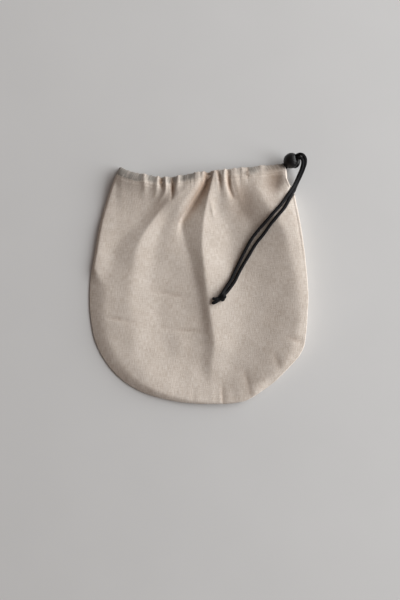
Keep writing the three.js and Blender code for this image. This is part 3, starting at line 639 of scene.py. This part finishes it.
REAR_COLUMNS = 110
REAR_ROW_MARKS = [0, 10, 24, 124]
REAR_BELOW_MOUTH = [HEM, 0, HEM, bag_length]
REAR_OUTER, REAR_INNER = 1.1 * CLOTH, CLOTH + 0.0012
REAR_HEM_TOP = 0.0051
HEM_END, HEM_FULL = 0.001, 0.008
CURL_REACH = 0.012
RIPPLE, RIPPLE_RATE, RIPPLE_REACH = 0.0008, 240, 0.008
bm, share, row = cloth_grid(REAR_COLUMNS, REAR_ROW_MARKS[-1])
below = np.interp(row, REAR_ROW_MARKS, REAR_BELOW_MOUTH)
place = place_on_bag(share, below / bag_length)
edge, along_seam, _ = nearest_on(sewn_line, place[:, 0], place[:, 1])
curl = np.interp(along_seam, SEAM_MARKS, SEAM_HEIGHTS) - 2 * CLOTH
outer = REAR_OUTER + curl * np.maximum(1 - edge / CURL_REACH, 0) ** 2
inner = between(REAR_HEM_TOP, REAR_INNER, smoothstep(below, HEM - TURNED_RISE, HEM))
inner = between(REAR_INNER, inner, smoothstep(edge, HEM_END, HEM_FULL))
face = np.where(row < REAR_ROW_MARKS[1], inner, outer)
height = rolled_mouth(face, (outer + inner) / 2, below)
ripple = RIPPLE * np.sin(place[:, 0] * RIPPLE_RATE + 1)
place[:, 1] += ripple * np.exp(-below / RIPPLE_REACH) * smoothstep(edge, 0, EDGE_FADE)
# Painted shade on the rear hem.
painted_shade_and_highlight = 1 - smoothstep(below, HEM - HEM_SHADE_SHARP, HEM + HEM_SHADE_SHARP)
place_vertices(bm, np.column_stack([place, height]), flat_places(place, below), {"painted_shade_and_highlight": painted_shade_and_highlight})
rear_panel = add_piece("rear_panel_cloth", bm, cotton)
thicken(rear_panel)
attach(rear_panel, "bag")
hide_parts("rear_panel")


# Hem stitching: a row of lockstitches in natural cotton thread that holds the turned-in edge of the front
# hem, each stitch pulled into the cloth at both ends.

STITCH, STITCH_PITCH, THREAD = 0.0024, 0.0031, 0.0005
STITCHED_FROM, STITCHED_TO = 0.02, 0.98
THREAD_PALE = (0.74, 0.68, 0.61, 1)
THREAD_SHADE = (0.5, 0.43, 0.36, 1)


def thread_finish(name):
    """Natural cotton sewing thread: two twisted plies with a little fuzz."""
    finish, start = new_finish(name)
    place = start.add("TexCoord", {}, {}, output="Object")
    plies = start.add("TexNoise", {}, {"Vector": place, "Scale": 2800.0, "Detail": 2.0})
    surface = {"Base Color": plies.ramp(0.35, 0.65).tint(THREAD_SHADE, THREAD_PALE), "Roughness": 0.9,
               "Specular IOR Level": 0.2}
    end_finish(start, surface, plies, 0.0001)
    return finish


stitch_count = round((STITCHED_TO - STITCHED_FROM) * bag_width / STITCH_PITCH)
bm = bmesh.new()
share = np.linspace(STITCHED_FROM, STITCHED_TO, stitch_count)
place = place_on_bag(share, np.full(stitch_count, HEM / bag_length))
place = np.column_stack([place, front_top(place[:, 0], place[:, 1])])
for spot, run in zip(place, np.gradient(place, axis=0)):
    turn = Vector(run).to_track_quat("X", "Z").to_matrix().to_4x4()
    size = Matrix.Diagonal((STITCH / 2, THREAD / 2, THREAD / 2, 1))
    lie = Matrix.Translation(spot) @ turn @ size
    bmesh.ops.create_uvsphere(bm, u_segments=8, v_segments=6, radius=1, matrix=lie)
for face in bm.faces:
    face.smooth = True
stitches = add_piece("hem_stitching", bm, thread_finish("natural cotton thread"))
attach(stitches, "bag")


# Drawstring in the hems: one black braided cord, run through the front hem from the lock, round the bag's
# left corner and back through the rear hem.

BRAID_PITCH, BRAID_YARNS, BRAID_RELIEF = 0.0032, 8, 0.06
ROUTE_POINTS = 400
MERGED_SHARE = 1e-3


def route_length(route):
    """Length of the smooth curve through a route."""
    line = smooth_line(route, ROUTE_POINTS)
    return float(np.linalg.norm(np.diff(line, axis=0), axis=1).sum())


def wrap_cord(bm, route, radius, around, row_length):
    """Wraps a grid round a route as a braided cord, with its seam merged and its ends drawn in."""
    length = route_length(route)
    rows = round(length / row_length)
    line = smooth_line(route, rows + 1)
    tangents = np.gradient(line, axis=0)
    tangents /= np.linalg.norm(tangents, axis=1)[:, None]
    side = np.cross(tangents[0], (0, 0, 1))
    sides = []
    for tangent in tangents:
        side = side - tangent * side.dot(tangent)
        side = side / np.linalg.norm(side)
        sides.append(side)
    sides = np.array(sides)
    ups = np.cross(tangents, sides)
    grid, share, row = cloth_grid(around, rows)
    row = row.astype(int)
    turn = 2 * math.pi * share
    run = length * row / rows
    braid = np.cos(BRAID_YARNS * turn) + np.cos(4 * math.pi * run / BRAID_PITCH)
    from_end = np.minimum(run, length - run)
    end = np.sqrt(1 - (1 - np.clip(from_end / radius, 0, 1)) ** 2)
    reach = (radius * (1 + BRAID_RELIEF / 2 * braid) * end)[:, None]
    places = line[row] + reach * (np.cos(turn)[:, None] * sides[row] + np.sin(turn)[:, None] * ups[row])
    flat = np.stack([share * 2 * math.pi * radius, run], axis=1)
    place_vertices(grid, places, flat)
    bmesh.ops.remove_doubles(grid, verts=grid.verts, dist=radius * MERGED_SHARE)
    bmesh.ops.recalc_face_normals(grid, faces=grid.faces)
    part = bpy.data.meshes.new("cord part")
    grid.to_mesh(part)
    grid.free()
    bm.from_mesh(part)
    bpy.data.meshes.remove(part)


CORD_DARK = (0.006, 0.006, 0.007, 1)
CORD_HIGHLIGHT_AND_FIBRE = (0.014, 0.014, 0.0155, 1)


def cord_finish(name):
    """Black polyester braid: a soft sheen, with painted highlight on the tops of the yarns and fibres varying
    the tone.
    """
    finish, start = new_finish(name)
    flat = start.add("UVMap", {"uv_map": "flat"})
    u = start.add("SeparateXYZ", {}, {"Vector": flat}, output="X")
    v = start.add("SeparateXYZ", {}, {"Vector": flat}, output="Y")
    around = u * (BRAID_YARNS / CORD)
    run = v * (4 * math.pi / BRAID_PITCH)
    yarn = (around * 2 + run * 0.5).sine() * (around * 2 - run * 0.5).sine()
    fibres = start.add("TexNoise", {}, {"Vector": flat, "Scale": 2600.0, "Detail": 2.0})
    # Painted highlight on the tops of the yarns, mixed with fibre noise that varies the tone.
    painted_shade_and_highlight = (yarn * 0.5 + 0.5) * 0.6 + fibres * 0.4
    surface = {"Base Color": painted_shade_and_highlight.ramp(0.2, 0.9).tint(CORD_DARK, CORD_HIGHLIGHT_AND_FIBRE), "Roughness": 0.8,
               "Specular IOR Level": 0.18}
    end_finish(start, surface, fibres + yarn * 0.5, 0.0002)
    return finish


black_braid = cord_finish("black braid")

HEM_CORD_SIDES, HEM_CORD_STEP = 24, 0.0008
bm = bmesh.new()
wrap_cord(bm, HEM_CORD, CORD / 2, HEM_CORD_SIDES, HEM_CORD_STEP)
hem_cord = add_piece("hem_cord_braid", bm, black_braid)
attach(hem_cord, "bag")
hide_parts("hem_cord")


# Free strands: both ends of the drawstring leave the lock side by side, arch over its button and drop to the
# cloth, where they lie loose across the front panel to the knot that joins them.

STRAND_RADIUS = 0.00184
STRAND_SIDES, STRAND_STEP = 40, 0.00032
STRAND_EXITS = [(0.11425, 0.14409, 0.01853), (0.11385, 0.14805, 0.01689)]
strands = []
for name, route in [("upper_strand", UPPER_STRAND), ("lower_strand", LOWER_STRAND)]:
    bm = bmesh.new()
    wrap_cord(bm, route, STRAND_RADIUS, STRAND_SIDES, STRAND_STEP)
    strand = add_piece(name + "_braid", bm, black_braid)
    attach(strand, "bag")
    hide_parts(name)
    strands.append(strand)


# Knot: an overhand knot in the two strands of braid together, pulled tight so that they can't slip back
# through the lock, with two short cut tails.

KNOT_CENTRE = Vector((0.0276, -0.0144, 0.0194))
KNOT_AZIMUTH = math.radians(62)
KNOT_CORD = 0.0019
KNOT_SIDES, KNOT_STEP = 32, 0.00036
KNOT_TURN, KNOT_POINTS = 1.9, 17
KNOT_LENGTH, KNOT_WIDTH, KNOT_DEPTH = 0.00125, 0.0009, 0.0002
KNOT_ASIDE = 0.0018
STRAND_BESIDE, STRAND_ABOVE = 0.0008, 0.0006
KNOT_TAILS = [
    [(0.0206, -0.0164, 0.0191), (0.0164, -0.016, 0.0179)],
    [(0.0208, -0.0198, 0.0185), (0.0162, -0.022, 0.0175)],
]
knot_place = Matrix.Translation(KNOT_CENTRE) @ Matrix.Rotation(KNOT_AZIMUTH, 4, "Z")


def overhand(beside, above):
    """The tight turns of an overhand knot, from the strands' side to the tails' side."""
    turns = []
    for t in np.linspace(KNOT_TURN, -KNOT_TURN, KNOT_POINTS):
        spot = Vector((KNOT_LENGTH * (t**3 - 3 * t), KNOT_WIDTH * (t**4 - 4 * t**2) + KNOT_ASIDE + beside,
                       KNOT_DEPTH * (t**5 - 10 * t) + above))
        turns.append(tuple(knot_place @ spot))
    return turns


bm = bmesh.new()
for route, tail, side in [(UPPER_STRAND, KNOT_TAILS[0], 1), (LOWER_STRAND, KNOT_TAILS[1], -1)]:
    turns = overhand(side * STRAND_BESIDE, side * STRAND_ABOVE)
    wrap_cord(bm, route[-2:] + turns + tail, KNOT_CORD, KNOT_SIDES, KNOT_STEP)
knot = add_piece("cord_knot_braid", bm, black_braid)
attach(knot, "bag")
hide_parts("cord_knot")
PATH_POINTS = 200
for strand, route, leaves, pieces in [(strands[0], UPPER_STRAND, STRAND_EXITS[0], [knot]),
                                      (strands[1], LOWER_STRAND, STRAND_EXITS[1], [])]:
    path = smooth_line(route, PATH_POINTS)
    route_length(route)


# Cord lock: a ball of black moulded plastic with a flat side, bored for a sprung plunger whose round button
# stands out of it. Both strands pass through a hole across ball and plunger, gripped until it is pressed.

PLASTIC_BLACK = (0.003, 0.003, 0.0035, 1)
PLASTIC_SCUFFED = (0.01, 0.01, 0.0105, 1)


def plastic_finish(name):
    """Satin black moulded plastic: a fine spark-eroded grain and faint scuffs."""
    finish, start = new_finish(name)
    place = start.add("TexCoord", {}, {}, output="Object")
    grain = start.add("TexNoise", {}, {"Vector": place, "Scale": 2400.0, "Detail": 1.0})
    scuffs = start.add("TexNoise", {}, {"Vector": place, "Scale": 420.0, "Detail": 4.0}).ramp(0.5, 0.75)
    surface = {"Base Color": scuffs.tint(PLASTIC_BLACK, PLASTIC_SCUFFED), "Roughness": scuffs * 0.15 + 0.42,
               "Specular IOR Level": 0.35}
    end_finish(start, surface, grain, 0.00006)
    return finish


black_plastic = plastic_finish("satin black plastic")
for name in ("lock_body", "lock_plunger"):
    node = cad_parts[name]
    node.data.materials.clear()
    node.data.materials.append(black_plastic)


# Table, light and camera: a pale matt table under soft light from a large window on the right, seen from
# straight above.

TABLE = 1.2
TABLE_GREY = (0.622, 0.62, 0.614, 1)
TABLE_PALE = (0.662, 0.66, 0.654, 1)


def table_finish(name):
    """Plain pale matt board, faintly clouded."""
    finish, start = new_finish(name)
    place = start.add("TexCoord", {}, {}, output="Object")
    cloud = start.add("TexNoise", {}, {"Vector": place, "Scale": 9.0, "Detail": 3.0})
    surface = {"Base Color": cloud.tint(TABLE_GREY, TABLE_PALE), "Roughness": 0.85, "Specular IOR Level": 0.2}
    end_finish(start, surface, cloud, 0.0001)
    return finish


bm = bmesh.new()
bmesh.ops.create_grid(bm, x_segments=8, y_segments=8, size=TABLE)
table = add_piece("table", bm, table_finish("pale table"))

WINDOW_PLACE = Vector((3.2, 0.8, 1.44))
WINDOW_WIDTH, WINDOW_HEIGHT = 5.4, 3.4
WINDOW_POWER = 310
DAYLIGHT = (0.965, 0.985, 1.0)
window = bpy.data.lights.new("window", "AREA")
window.shape = "RECTANGLE"
window.size = WINDOW_WIDTH
window.size_y = WINDOW_HEIGHT
window.energy = WINDOW_POWER
window.color = DAYLIGHT
window_object = bpy.data.objects.new("window", window)
window_object.location = WINDOW_PLACE
window_object.rotation_euler = WINDOW_PLACE.to_track_quat("Z", "Y").to_euler()
bpy.context.scene.collection.objects.link(window_object)

ROOM_LIGHT = (1.0, 0.83, 0.745, 1)
ROOM_STRENGTH = 0.168
room = bpy.data.worlds.new("room")
room.use_nodes = True
walls = room.node_tree.nodes["Background"]
walls.inputs["Color"].default_value = ROOM_LIGHT
walls.inputs["Strength"].default_value = ROOM_STRENGTH
bpy.context.scene.world = room
bpy.context.scene.view_settings.view_transform = "Standard"

CAMERA_PLACE = (0.0026, -0.0177, 0.556)
CAMERA_ANGLE = math.radians(65)
camera = bpy.data.cameras.new("camera")
camera.angle = CAMERA_ANGLE
camera_object = bpy.data.objects.new("camera", camera)
camera_object.location = CAMERA_PLACE
bpy.context.scene.collection.objects.link(camera_object)
bpy.context.scene.camera = camera_object
